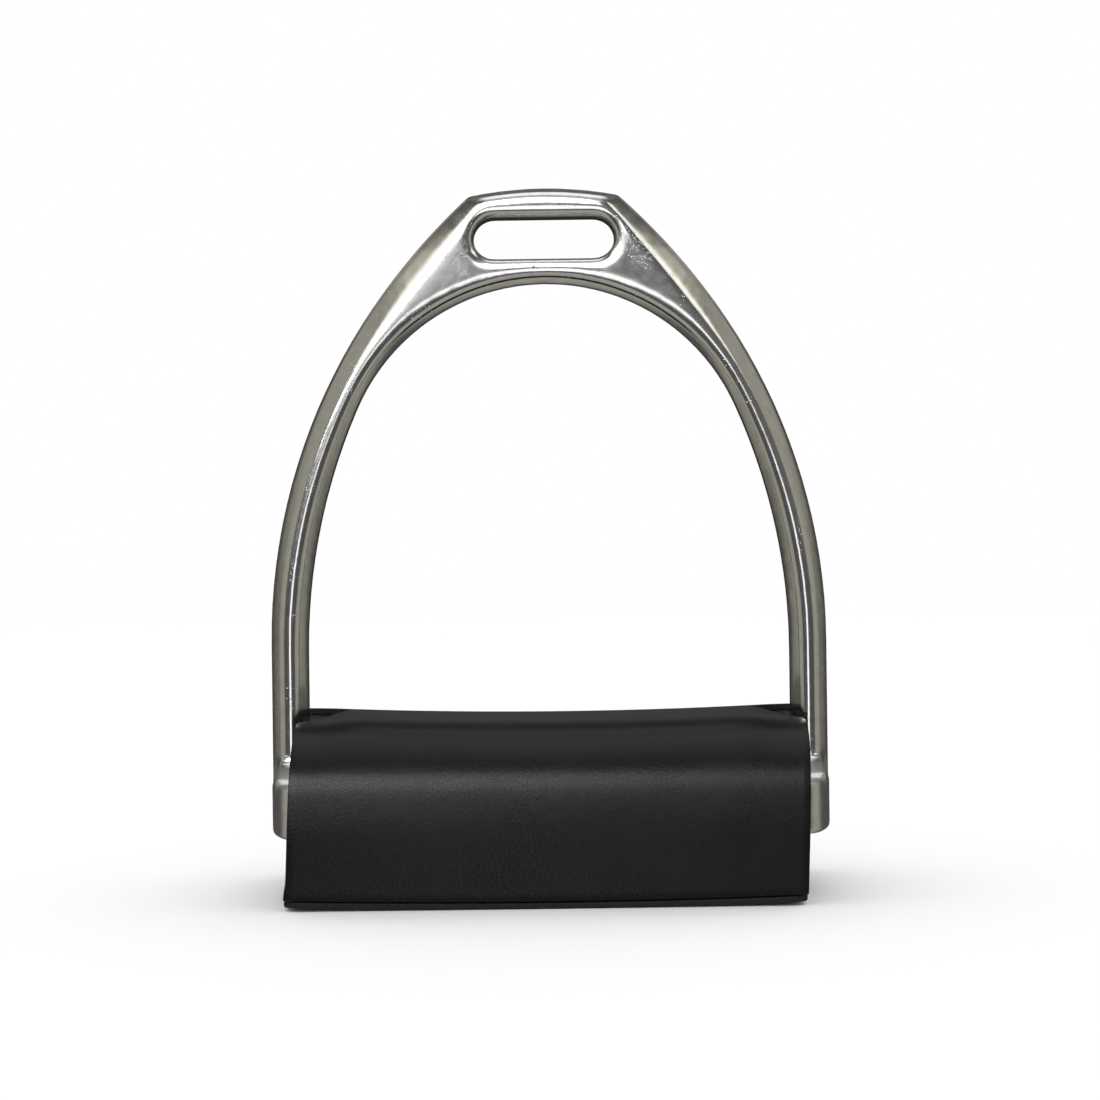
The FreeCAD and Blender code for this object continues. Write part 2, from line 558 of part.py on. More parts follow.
def cut_notches(body):
    """Teardrop notches that let the branches through the top at both ends."""
    # The tip arc meets each side square to it.
    tip = "sizes.notch_tip_radius"
    wide = "sizes.notch_half_width"
    aside = f"{tip} * sizes.notch_reach / {{notch_side}}"
    start = (f"{{cover_end}} - sizes.notch_reach"
             f" + {tip} * ({{notch_side}} / {wide} - {wide} / {{notch_side}})")
    end = "{cover_end} + sizes.overlap"
    notches = new_sketch(body, "notch_outline", "XY_Plane", "{tread_top}")
    outline(notches, [(start, f"-{aside}"), (end, f"-{wide}"), (end, wide), (start, aside, tip, 1)])
    outline(notches, [(f"-({start})", aside), (f"-({end})", wide), (f"-({end})", f"-{wide}"),
                      (f"-({start})", f"-{aside}", tip, 1)])
    pocket(body, "branch_notches", notches, "{cover_top}", reverse=True)


def make_layer(label, corners):
    """A layer of the cover: one cross-section from front to back, drawn out to both ends."""
    body = new_body(label)
    section = new_sketch(body, f"{label}_section", "YZ_Plane")
    outline(section, corners)
    pad(body, f"{label}_run", section, "{cover_end} * 2", both_ways=True)
    doc.recompute()
    cut_notches(body)
    return body


def make_cover():
    skin_in = "({cover_half} - sizes.leather_thickness)"
    skin_top = "({cover_top} - sizes.leather_thickness)"
    skin_radius = "sizes.cover_corner_radius - sizes.leather_thickness"
    lining_out = "({cavity_half} + sizes.lining_thickness)"
    lining_top = "({cavity_top} + sizes.lining_thickness)"
    lining_radius = "sizes.cavity_corner_radius + sizes.lining_thickness"
    foam_low = "{hem_low} + sizes.lining_thickness"
    leather = ([("-{cover_half}", "{panel_low}")]
               + hoop("{cover_half}", "{cover_top}", "sizes.cover_corner_radius", -1)
               + [("{cover_half}", "{panel_low}"), (skin_in, "{panel_low}")]
               + hoop(skin_in, skin_top, skin_radius, 1)
               + [(f"-{skin_in}", "{panel_low}")])
    foam = ([(f"-{skin_in}", foam_low)] + hoop(skin_in, skin_top, skin_radius, -1)
            + [(skin_in, foam_low), (lining_out, foam_low)]
            + hoop(lining_out, lining_top, lining_radius, 1) + [(f"-{lining_out}", foam_low)])
    lining = ([(f"-{skin_in}", "{hem_low}"), (f"-{skin_in}", foam_low), (f"-{lining_out}", foam_low)]
              + hoop(lining_out, lining_top, lining_radius, -1)
              + [(lining_out, foam_low), (skin_in, foam_low), (skin_in, "{hem_low}"),
                 ("{cavity_half}", "{hem_low}")]
              + hoop("{cavity_half}", "{cavity_top}", "sizes.cavity_corner_radius", 1)
              + [("-{cavity_half}", "{hem_low}")])
    return [make_layer("cover_leather", leather), make_layer("cover_foam", foam),
            make_layer("cover_lining", lining)]


# ---- the flap ----

def make_flap():
    leather = new_body("flap_leather")
    sole = new_sketch(leather, "flap_outline", "XY_Plane")
    rounded_box(sole, "-{cover_end}", "{cover_end}", "-{cover_half}", "{cover_half}",
                "sizes.flap_corner_radius")
    pad(leather, "flap_skin", sole, "sizes.leather_thickness")

    base = "sizes.leather_thickness"
    foam_top = "{flap_top} - sizes.lining_thickness"
    front = "-({flap_front} - sizes.lining_thickness)"
    back = "({flap_back} - sizes.lining_thickness)"
    foam = new_body("flap_foam")
    block = new_sketch(foam, "flap_foam_section", "YZ_Plane")
    outline(block, [(front, base), (back, base), (back, foam_top), (front, foam_top)])
    pad(foam, "flap_foam_run", block, "{cover_end} * 2", both_ways=True)

    lining = new_body("flap_lining")
    shell = new_sketch(lining, "flap_lining_section", "YZ_Plane")
    outline(shell, [("-{flap_front}", base), (front, base), (front, foam_top), (back, foam_top),
                    (back, base), ("{flap_back}", base), ("{flap_back}", "{flap_top}"),
                    ("-{flap_front}", "{flap_top}")])
    pad(lining, "flap_lining_run", shell, "{cover_end} * 2", both_ways=True)
    return [leather, foam, lining]


def make_strip(label, root, faces_up):
    """A hook or loop strip: woven base with a bare border, and the pile on it."""
    body = new_body(label)
    base = new_sketch(body, f"{label}_base", "XY_Plane", root)
    plain_box(base, "-{strip_half_length}", "{strip_half_length}", "-{strip_front}", "-{strip_back}")
    pad(body, f"{label}_weave", base, "sizes.strip_base", reverse=not faces_up)
    turn = "+" if faces_up else "-"
    pile = new_sketch(body, f"{label}_field", "XY_Plane", f"{root} {turn} sizes.strip_base")
    plain_box(pile, "-{strip_half_length}", "{strip_half_length}",
              "-{strip_front} + sizes.strip_border", "-{strip_back} - sizes.strip_border")
    pad(body, f"{label}_pile", pile, "sizes.strip_pile", reverse=not faces_up)
    return body


def make_stitches(label, half_length, rows):
    """Rows of stitches along X; a row is (y, z) of the thread."""
    count = int(number(half_length) * 2 // number("sizes.stitch_pitch"))
    stitches = []
    for row, (across, height) in enumerate(rows):
        for place in range(count):
            stitch = doc.addObject("Part::Cylinder", f"{label}_{row}_{place}")
            stitch.setExpression("Radius", "sizes.thread_radius")
            stitch.setExpression("Height", "sizes.stitch_length")
            steps = place - (count - 1) / 2
            along = f"sizes.stitch_pitch * ({steps}) - sizes.stitch_length / 2"
            stitch.Placement.Rotation = FreeCAD.Rotation(FreeCAD.Vector(0, 1, 0), 90)
            stitch.setExpression("Placement.Base.x", along)
            stitch.setExpression("Placement.Base.y", bound(across))
            stitch.setExpression("Placement.Base.z", bound(height))
            stitches.append(stitch)
    seam = doc.addObject("Part::Compound", label)
    seam.Label = label
    seam.Links = stitches
    return seam


def make_fastening():
    hook_root = "sizes.leather_thickness"
    hook = make_strip("hook_strip", hook_root, True)
    loop = make_strip("loop_strip", "{hem_low}", False)
    border_front = "-{strip_front} + sizes.strip_border / 2"
    border_back = "-{strip_back} - sizes.strip_border / 2"
    hook_height = f"{hook_root} + sizes.strip_base"
    loop_height = "{hem_low} - sizes.strip_base"
    hook_seam = make_stitches("hook_strip_stitches", "{strip_half_length}",
                              [(border_front, hook_height), (border_back, hook_height)])
    loop_seam = make_stitches("loop_strip_stitches", "{strip_half_length}",
                              [(border_front, loop_height), (border_back, loop_height)])
    hinge_seam = make_stitches("hinge_stitches", "{cover_end} - sizes.stitch_pitch",
                               [("{cover_half} - sizes.thread_radius", "{panel_low} + sizes.seam_rise")])
    return [hook, loop, hook_seam, loop_seam, hinge_seam]


nodes = [make_iron(), make_rubber()] + make_cover() + make_flap() + make_fastening()
doc.recompute()

for part in doc.Objects:
    if "Invalid" in part.State or "Error" in part.State:
        raise RuntimeError(f"{part.Label} did not build: {part.State}")
for node in nodes:
    if node.Shape.isNull() or not node.Shape.isValid() or not node.Shape.Solids:
        raise RuntimeError(f"{node.Label} has no valid shape")

os.makedirs("parts", exist_ok=True)
for node in nodes:
    node.Shape.exportStep(f"parts/{node.Label}.step")
    box = node.Shape.BoundBox
    print(f"{node.Label:22s} solids {len(node.Shape.Solids):3d} volume {node.Shape.Volume:10.1f} "
          f"x {box.XMin:7.2f} {box.XMax:7.2f} y {box.YMin:7.2f} {box.YMax:7.2f} "
          f"z {box.ZMin:7.2f} {box.ZMax:7.2f}")
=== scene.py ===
import math

import bmesh
import bpy
from mathutils import Matrix, Vector


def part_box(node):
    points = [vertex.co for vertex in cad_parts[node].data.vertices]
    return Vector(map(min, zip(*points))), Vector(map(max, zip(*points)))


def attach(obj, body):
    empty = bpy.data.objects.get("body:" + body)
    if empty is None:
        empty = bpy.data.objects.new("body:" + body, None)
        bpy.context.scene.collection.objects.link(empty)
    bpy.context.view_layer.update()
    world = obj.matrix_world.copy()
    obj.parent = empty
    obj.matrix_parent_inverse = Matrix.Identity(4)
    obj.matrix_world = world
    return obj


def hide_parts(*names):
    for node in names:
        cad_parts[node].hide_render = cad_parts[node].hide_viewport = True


# A stirrup iron of polished stainless steel with a padded black leather tread cover.
# Metres. X runs across the iron, Y from front (-) to back (+), Z up.

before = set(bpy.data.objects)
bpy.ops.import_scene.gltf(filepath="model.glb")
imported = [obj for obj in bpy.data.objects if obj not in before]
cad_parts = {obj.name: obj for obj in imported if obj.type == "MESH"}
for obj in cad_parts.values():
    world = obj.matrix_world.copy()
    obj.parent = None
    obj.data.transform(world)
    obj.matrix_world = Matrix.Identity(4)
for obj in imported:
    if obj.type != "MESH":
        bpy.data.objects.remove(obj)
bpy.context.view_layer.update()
MM = 0.001

# ---- places taken from the frame ----

leather_low, leather_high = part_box("cover_leather")
foam_low, foam_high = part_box("cover_foam")
lining_low, lining_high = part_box("cover_lining")
flap_low, flap_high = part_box("flap_leather")
flap_foam_low, flap_foam_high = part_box("flap_foam")
flap_lining_low, flap_lining_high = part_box("flap_lining")
hook_low, hook_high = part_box("hook_strip")
loop_low, loop_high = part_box("loop_strip")
hook_seam_low, hook_seam_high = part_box("hook_strip_stitches")
loop_seam_low, loop_seam_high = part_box("loop_strip_stitches")
hinge_seam_low, hinge_seam_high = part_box("hinge_stitches")

COVER_END = leather_high.x
COVER_HALF = leather_high.y
COVER_TOP = leather_high.z
PANEL_LOW = leather_low.z
LEATHER = flap_high.z - flap_low.z
FOAM = foam_high.z - lining_high.z
LINING = foam_low.z - lining_low.z
SHOULDER_RADIUS = 17 * MM
NOTCH_REACH = 11.8 * MM
NOTCH_HALF = 16 * MM
NOTCH_TIP = 2.6 * MM
FLAP_CORNER = 3 * MM
NOTCH_SOFTNESS = 1.2 * MM
ROW = 2.0 * MM
COLUMNS = 62
FOAM_PLAY = 0.02 * MM
FOAM_SHY = 0.5 * MM
LINING_SHY = 0.2 * MM
LINING_BEND = 1.2 * MM
LOOP_GRID = 1.6 * MM
TAPE_BORDER = 1.5 * MM
THREAD = 0.33 * MM
STITCH_PITCH = 5 * MM
STITCH_LENGTH = 3.4 * MM
POLISH_GRID = 0.58 * MM
POLISH_PASSES = 9
CROWN_PASSES = 12

# ---- how the cover has settled on the iron ----

LEAN = 1.6 * MM
LEAN_AT_TOP = 0.3 * MM
DIP = 0.7 * MM
END_RISE = 1.6 * MM
CROWN = 1.6 * MM
NOTCH_DIP = 1.4 * MM
END_HANG = 0.9 * MM
BACK_SPREAD = 1.0 * MM
WORN_CORNER = 0.5 * MM
SHOULDER_PULL = 3.2 * MM
TOP_TILT = 0.003


# ---- shader arithmetic ----

class Wire:
    """A value in a node tree that can be used in arithmetic."""

    def __init__(self, finish, socket):
        self.finish = finish
        self.socket = socket

    def maths(self, operation, *others):
        return self.finish.add("ShaderNodeMath", {"operation": operation}, [self, *others])

    def __add__(self, other):
        return self.maths("ADD", other)

    def __radd__(self, other):
        return self.maths("ADD", other)

    def __sub__(self, other):
        return self.maths("SUBTRACT", other)

    def __rsub__(self, other):
        return self.finish.add("ShaderNodeMath", {"operation": "SUBTRACT"}, [other, self])

    def __mul__(self, other):
        return self.maths("MULTIPLY", other)

    def __rmul__(self, other):
        return self.maths("MULTIPLY", other)

    def clamped(self):
        return self.maths("MAXIMUM", 0.0).maths("MINIMUM", 1.0)

    def rise(self, start, end):
        """0 below start and 1 above end, smooth between them."""
        return self.finish.add("ShaderNodeMapRange", {"interpolation_type": "SMOOTHSTEP"},
                               [self, start, end, 0.0, 1.0])

    def fall(self, start, end):
        return 1 - self.rise(start, end)


class Finish:
    """A node tree under construction. add() makes any node and wires its sockets."""

    def __init__(self, tree):
        self.tree = tree
        self.tree.nodes.clear()

    def add(self, kind, settings=None, values=(), output=0, **named):
        node = self.tree.nodes.new(kind)
        for key, setting in (settings or {}).items():
            setattr(node, key, setting)
        for key, given in list(enumerate(values)) + list(named.items()):
            socket = node.inputs[key.replace("_", " ") if isinstance(key, str) else key]
            if isinstance(given, Wire):
                self.tree.links.new(given.socket, socket)
            elif given is not None:
                socket.default_value = given
        return Wire(self, node.outputs[output])

    def place(self):
        return self.add("ShaderNodeTexCoord", output="Object")

    def split(self, vector):
        """The X, Y and Z of a vector."""
        node = self.add("ShaderNodeSeparateXYZ", None, [vector]).socket.node
        return [Wire(self, socket) for socket in node.outputs]

    def near(self, place, centre, full, gone):
        """1 within one distance of a point and 0 past another. All in mm."""
        away = self.add("ShaderNodeVectorMath", {"operation": "DISTANCE"},
                        [place, tuple(c * MM for c in centre)], output="Value")
        return away.fall(full * MM, gone * MM)

    def stretched(self, place, scale, turn=(0, 0, 0)):
        return self.add("ShaderNodeMapping", {"vector_type": "TEXTURE"},
                        [place, (0, 0, 0), turn, tuple(1 / s for s in scale)])

    def noise(self, place, scale, detail=2.0, rough=0.5, lump=0.0):
        return self.add("ShaderNodeTexNoise", None, Vector=place, Scale=scale, Detail=detail,
                        Roughness=rough, Distortion=lump)

    def cells(self, place, scale, feature="F1", chance=1.0):
        return self.add("ShaderNodeTexVoronoi", {"feature": feature}, Vector=place, Scale=scale,
                        Randomness=chance)

    def blend(self, share, first, second):
        """A colour between two colours."""
        node = self.tree.nodes.new("ShaderNodeMix")
        node.data_type = "RGBA"
        for index, given in ((0, share), (6, first), (7, second)):
            if isinstance(given, Wire):
                self.tree.links.new(given.socket, node.inputs[index])
            elif index:
                node.inputs[index].default_value = (*given, 1.0)
            else:
                node.inputs[index].default_value = given
        return Wire(self, node.outputs[2])

    def bump(self, height, depth, under=None):
        """A normal from a height between 0 and 1 that stands for this depth in metres."""
        named = {"Strength": 1.0, "Distance": depth, "Height": height}
        if under is not None:
            named["Normal"] = under
        return self.add("ShaderNodeBump", None, **named)


def material(name, recipe, **fixed):
    """A material: fixed values go straight on the shader, the recipe wires what varies."""
    made = bpy.data.materials.new(name)
    made.use_nodes = True
    finish = Finish(made.node_tree)
    shader = made.node_tree.nodes.new("ShaderNodeBsdfPrincipled")
    out = made.node_tree.nodes.new("ShaderNodeOutputMaterial")
    made.node_tree.links.new(shader.outputs[0], out.inputs[0])
    for key, given in fixed.items():
        shader.inputs[key.replace("_", " ")].default_value = given
    for key, wire in recipe(finish).items():
        made.node_tree.links.new(wire.socket, shader.inputs[key])
    return made


# ---- materials ----

# Small casting pits in the steel: place (mm) and radius (mm). Their colour is painted near black:
# painted shade inside the pits.
PITS = [((43.4, -5.0, 143.0), 0.45), ((44.9, -4.4, 140.7), 0.35), ((61.0, -4.0, 85.5), 0.4),
        ((69.2, -1.0, 51.6), 0.5), ((-69.0, -1.2, 50.4), 0.4), ((-2.6, -5.0, 155.2), 0.3)]

# Casting marks at both ends of the slot.
SCUFFS = [(22.0, -5.0, 162.0), (24.5, -5.0, 159.0), (-20.5, -5.0, 166.5), (-22.0, -5.0, 160.0)]


def steel_recipe(finish):
    place = finish.place()
    broad = finish.noise(place, 90, 2.0)
    cloud = finish.noise(place, 420, 3.0)
    polish = finish.noise(finish.stretched(place, (500, 500, 9000), (0, 0.5, 0)), 1.0, 3.0)
    specks = finish.cells(place, 1900).fall(0.14, 0.3)
    rough_patch = finish.noise(place, 260, 2.0).rise(0.56, 0.68)
    for centre in SCUFFS:
        rough_patch = rough_patch.maths("MAXIMUM", finish.near(place, centre, 1.5, 4.5))
    grain = specks * rough_patch
    pit_with_painted_shade = None
    for centre, radius in PITS:
        spot = finish.near(place, centre, radius * 0.4, radius * 1.3)
        pit_with_painted_shade = spot if pit_with_painted_shade is None else pit_with_painted_shade.maths("MAXIMUM", spot)
    tone = finish.blend(cloud.rise(0.3, 0.75), (0.60, 0.595, 0.575), (0.66, 0.655, 0.635))
    # The pits are painted near black: painted shade inside them, on top of their bump and
    # roughness.
    colour = finish.blend((pit_with_painted_shade * 0.85).clamped(), tone, (0.05, 0.045, 0.04))
    height = finish.split(place)[2]
    satin = height.fall(PANEL_LOW + 28 * MM, PANEL_LOW + 33 * MM)
    rough = 0.085 + cloud * 0.05 + polish * 0.06 + grain * 0.25 + pit_with_painted_shade * 0.3 + satin * 0.22
    wavy = finish.bump(broad, 0.10 * MM)
    brushed = finish.bump(polish, 0.0012 * MM, wavy)
    pitted = finish.bump(1 - (pit_with_painted_shade + grain * 0.12).clamped(), 0.25 * MM, brushed)
    return {"Base Color": colour, "Roughness": rough.clamped(), "Normal": pitted}


def leather_recipe(finish):
    place = finish.place()
    pebble = finish.cells(place, 1450, "SMOOTH_F1")
    crease = finish.cells(place, 900, "DISTANCE_TO_EDGE").rise(0.0, 0.10)
    fine = finish.noise(place, 5200, 3.0)
    broad = finish.noise(place, 45, 3.0)
    grain = (pebble * -0.5 + crease * 0.5 + fine * 0.25 + 0.4).clamped()
    colour = finish.blend(broad.rise(0.3, 0.75), (0.0040, 0.0036, 0.0033),
                          (0.0064, 0.0058, 0.0053))
    rough = 0.25 + broad * 0.05 + fine * 0.06 - crease * 0.03
    soft = finish.bump(finish.noise(place, 70, 2.0), 0.12 * MM)
    return {"Base Color": colour, "Roughness": rough,
            "Normal": finish.bump(grain, 0.018 * MM, soft)}


def cut_edge_recipe(finish):
    place = finish.place()
    fibre = finish.noise(place, 2600, 4.0, 0.7)
    colour = finish.blend(fibre.rise(0.3, 0.7), (0.004, 0.0037, 0.0035), (0.013, 0.012, 0.011))
    return {"Base Color": colour, "Roughness": 0.7 + fibre * 0.2,
            "Normal": finish.bump(fibre, 0.08 * MM)}


def foam_recipe(finish):
    place = finish.place()
    cell = finish.cells(place, 1600).rise(0.05, 0.5)
    small = finish.cells(place, 3300).rise(0.05, 0.5)
    colour = finish.blend(cell, (0.006, 0.006, 0.006), (0.035, 0.035, 0.036))
    return {"Base Color": colour, "Roughness": 0.85 + small * 0.1,
            "Normal": finish.bump(cell * 0.7 + small * 0.3, 0.25 * MM)}


def weave_recipe(finish):
    place = finish.place()
    x, y, z = finish.split(place)
    threads = 2 * math.pi / (0.55 * MM)
    across = (x * threads).maths("SINE")
    around = ((y + z) * threads).maths("SINE")
    knit = across * around * 0.5 + 0.5
    fuzz = finish.noise(place, 4000, 3.0)
    colour = finish.blend(knit, (0.008, 0.008, 0.009), (0.026, 0.026, 0.028))
    return {"Base Color": colour, "Roughness": 0.8 + fuzz * 0.15,
            "Normal": finish.bump(knit * 0.7 + fuzz * 0.3, 0.12 * MM)}


def rubber_recipe(finish):
    place = finish.place()
    dust = finish.noise(place, 300, 4.0)
    fine = finish.noise(place, 5000, 3.0)
    colour = finish.blend(dust.rise(0.4, 0.8), (0.012, 0.012, 0.012), (0.035, 0.034, 0.032))
    return {"Base Color": colour, "Roughness": 0.62 + dust * 0.25,
            "Normal": finish.bump(fine, 0.03 * MM)}


def thread_recipe(finish):
    place = finish.place()
    twist = finish.add("ShaderNodeTexWave", {"bands_direction": "DIAGONAL"}, Vector=place,
                       Scale=900.0, Distortion=0.4)
    colour = finish.blend(twist, (0.010, 0.010, 0.010), (0.05, 0.048, 0.046))
    return {"Base Color": colour, "Roughness": 0.55 + twist * 0.15,
            "Normal": finish.bump(twist, 0.06 * MM)}


def tape_recipe(finish):
    place = finish.place()
    rib = finish.add("ShaderNodeTexWave", {"bands_direction": "X"}, Vector=place, Scale=420.0,
                     Distortion=0.6, Detail=2.0)
    colour = finish.blend(rib, (0.008, 0.008, 0.008), (0.024, 0.024, 0.025))
    return {"Base Color": colour, "Roughness": 0.75 + rib * 0.15,
            "Normal": finish.bump(rib, 0.1 * MM)}


STEEL = material("polished_stainless_steel", steel_recipe, Metallic=1.0)
HIDE = material("black_leather_grain", leather_recipe, Specular_IOR_Level=0.2)
CUT_EDGE = material("cut_leather_edge", cut_edge_recipe, Specular_IOR_Level=0.3)
SPONGE = material("black_foam", foam_recipe, Specular_IOR_Level=0.2)
CLOTH = material("lining_weave", weave_recipe, Specular_IOR_Level=0.2)
RUBBER = material("tread_rubber", rubber_recipe, Specular_IOR_Level=0.4)
THREAD_FINISH = material("waxed_thread", thread_recipe, Specular_IOR_Level=0.4)
TAPE = material("hook_and_loop_tape", tape_recipe, Specular_IOR_Level=0.25)


# ---- making pieces ----

def finish_piece(name, bm, materials, body, replaces, smooth=True):
    """Turns a bmesh into a piece that rides on a body and stands for a CAD node."""
    mesh = bpy.data.meshes.new(name)
    bm.to_mesh(mesh)
    bm.free()
    piece = bpy.data.objects.new(name, mesh)
    bpy.context.scene.collection.objects.link(piece)
    for finish in materials:
        mesh.materials.append(finish)
    mesh.polygons.foreach_set("use_smooth", [smooth] * len(mesh.polygons))
    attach(piece, body)
    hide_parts(replaces)
    return piece


def shaped(name, mesh, modifiers):
    """A mesh after these modifiers: each is a kind and its settings."""
    holder = bpy.data.objects.new(name, mesh)
    bpy.context.scene.collection.objects.link(holder)
    for kind, settings in modifiers:
        step = holder.modifiers.new(kind, kind)
        for key, setting in settings.items():
            setattr(step, key, setting)
    result = bpy.data.meshes.new_from_object(
        holder.evaluated_get(bpy.context.evaluated_depsgraph_get()))
    bpy.data.objects.remove(holder)
    return result


def ease_edges(piece, width):
    """Rounds the cut edges of a piece a little."""
    ease = piece.modifiers.new("eased_edges", "BEVEL")
    ease.width = width
    ease.segments = 3
    ease.limit_method = "ANGLE"
    ease.angle_limit = math.radians(55)
    ease.harden_normals = False


def ramp(low, high, value):
    """0 at low and 1 at high, straight between them. Low may be the larger."""
    return min(max((value - low) / (high - low), 0.0), 1.0)


def smoothstep(low, high, value):
    share = ramp(low, high, value)
    return share * share * (3 - 2 * share)


def settle(point):
    """The cover as it sits on the iron: it leans a little, its top is crowned and dips in the
    middle, its shoulders are pulled in, and its front lower edge hangs lowest in the middle. The
    lower back edge stays straight, because the flap turns about it."""
    across = point.x / COVER_END
    toward_back = point.y / COVER_HALF
    deep = abs(toward_back)
    upper = ramp(0.725, 1.0, point.z / COVER_TOP)
    lower = 1 - smoothstep(0.0, 0.5 * COVER_TOP, point.z)
    outer = ramp(0.62, 1.0, deep)
    notch = smoothstep(0.72, 0.95, abs(across)) * smoothstep(0.0, 0.35, -toward_back)
    sink = DIP - END_RISE * across ** 2 + CROWN * smoothstep(0.0, 0.8, deep) + NOTCH_DIP * notch
    hang = END_HANG * across ** 2 * lower * (1 - smoothstep(0.0, 0.9, toward_back))
    lean = LEAN_AT_TOP - LEAN * (COVER_TOP - point.z) / COVER_TOP
    spread = BACK_SPREAD * across * upper * smoothstep(0.1, 0.6, toward_back)
    near_floor = 1 - smoothstep(2 * MM, 7 * MM, point.z)
    worn = WORN_CORNER * smoothstep(-0.9, -1.0, across) * near_floor
    pull = SHOULDER_PULL * smoothstep(0.35 * COVER_TOP, 1.05 * COVER_TOP, point.z) * outer
    tilt = TOP_TILT * point.x * upper
    return Vector((point.x + lean + spread - worn, point.y - math.copysign(pull, point.y),
                   point.z - sink * upper + hang - tilt))


def settled(bm):
    for vert in bm.verts:
        vert.co = settle(vert.co)


def layer(name, sheet, thickness, materials, rim=0):
    """A sheet given its thickness inward from its outer face, then settled on the iron."""
    flat = bpy.data.meshes.new(name)
    sheet.to_mesh(flat)
    sheet.free()
    for finish in materials:
        flat.materials.append(finish)
    thick = {"thickness": thickness, "offset": -1, "use_even_offset": True,
             "material_offset_rim": rim}
    bm = bmesh.new()
    bm.from_mesh(shaped(name, flat, [("SOLIDIFY", thick)]))
    settled(bm)
    return bm


def end_of_cover(y, z):
    """How far out the cover reaches at this place: less in the notch for the branch."""
    if z < 0.6 * COVER_TOP:
        return COVER_END
    spread = math.hypot(NOTCH_HALF, NOTCH_TIP) - NOTCH_TIP
    open_by = (math.hypot(y, NOTCH_TIP) - NOTCH_TIP) / spread
    notch = COVER_END - NOTCH_REACH * (1 - open_by)
    return (notch + COVER_END - math.hypot(notch - COVER_END, NOTCH_SOFTNESS)) / 2


def hoop(inset, low, hem=0.0):
    """Points (y, z) of a layer this far inside the leather's face, from the front lower edge
    over the top to the back lower edge. A hem turns the lower edges outward."""
    half = COVER_HALF - inset
    top = COVER_TOP - inset
    radius = SHOULDER_RADIUS - inset
    front = []
    rises = max(int((top - radius - low) / ROW), 2)
    for index in range(rises):
        front.append((-half, low + (top - radius - low) * index / rises))
    turns = 14
    for index in range(turns):
        angle = math.pi / 2 * index / turns
        front.append((-half + radius * (1 - math.cos(angle)),
                      top - radius + radius * math.sin(angle)))
    flats = max(int((half - radius) / ROW), 2)
    for index in range(flats):
        front.append(((-half + radius) * (1 - index / flats), top))
    if hem:
        hems = max(int(hem / ROW), 2)
        front = [(-half - hem * (1 - index / hems), low) for index in range(hems)] + front
    back = [(-y, z) for y, z in reversed(front)]
    return front + [(0.0, top)] + back


def sheet_along(path, columns, reach):
    """A grid whose rows follow the path (y, z) and whose columns run across, out to reach."""
    bm = bmesh.new()
    bmesh.ops.create_grid(bm, x_segments=columns, y_segments=len(path) - 1, size=1.0)
    for vert in bm.verts:
        y, z = path[round((vert.co.y + 1) / 2 * (len(path) - 1))]
        vert.co = Vector((vert.co.x * reach(y, z), y, z))
    return bm


def make_iron():
    """The casting as modelled, then ground and polished: every ridge is eased a little."""
    bm = bmesh.new()
    bm.from_mesh(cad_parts["iron_casting"].data)
    bmesh.ops.remove_doubles(bm, verts=bm.verts, dist=0.002 * MM)
    raw = bpy.data.meshes.new("iron_raw")
    bm.to_mesh(raw)
    bm.free()
    remesh = {"mode": "VOXEL", "voxel_size": POLISH_GRID, "use_smooth_shade": True}
    smooth = {"factor": 0.5, "iterations": POLISH_PASSES}
    polished = shaped("iron_polish", raw, [("REMESH", remesh), ("SMOOTH", smooth)])
    bm = bmesh.new()
    bm.from_mesh(polished)
    bow = [vert for vert in bm.verts if vert.co.z > COVER_TOP - SHOULDER_RADIUS]
    for _ in range(CROWN_PASSES):
        bmesh.ops.smooth_vert(bm, verts=bow, factor=0.5, use_axis_x=False, use_axis_y=True,
                              use_axis_z=False)
    finish_piece("iron", bm, [STEEL], "iron_and_cover", "iron_casting")


def make_cover():
    skin = sheet_along(hoop(0.0, PANEL_LOW), COLUMNS, end_of_cover)
    skin = layer("cover_skin", skin, LEATHER, [HIDE, CUT_EDGE], rim=1)
    leather = finish_piece("cover_leather_skin", skin, [HIDE, CUT_EDGE], "iron_and_cover",
                           "cover_leather")
    ease_edges(leather, 0.25 * MM)

    core = sheet_along(hoop(LEATHER + FOAM_PLAY, foam_low.z), COLUMNS,
                       lambda y, z: end_of_cover(y, z) - FOAM_SHY)
    core = layer("cover_core", core, FOAM - 2 * FOAM_PLAY, [SPONGE])
    foam = finish_piece("cover_foam_pad", core, [SPONGE], "iron_and_cover", "cover_foam")
    ease_edges(foam, 0.8 * MM)

    cloth = sheet_along(hoop(LEATHER + FOAM, foam_low.z, hem=FOAM), COLUMNS,
                        lambda y, z: end_of_cover(y, z) - LINING_SHY)
    cloth = layer("cover_cloth", cloth, LINING, [CLOTH])
    lining = finish_piece("cover_lining_cloth", cloth, [CLOTH], "iron_and_cover", "cover_lining")
    ease_edges(lining, 0.2 * MM)


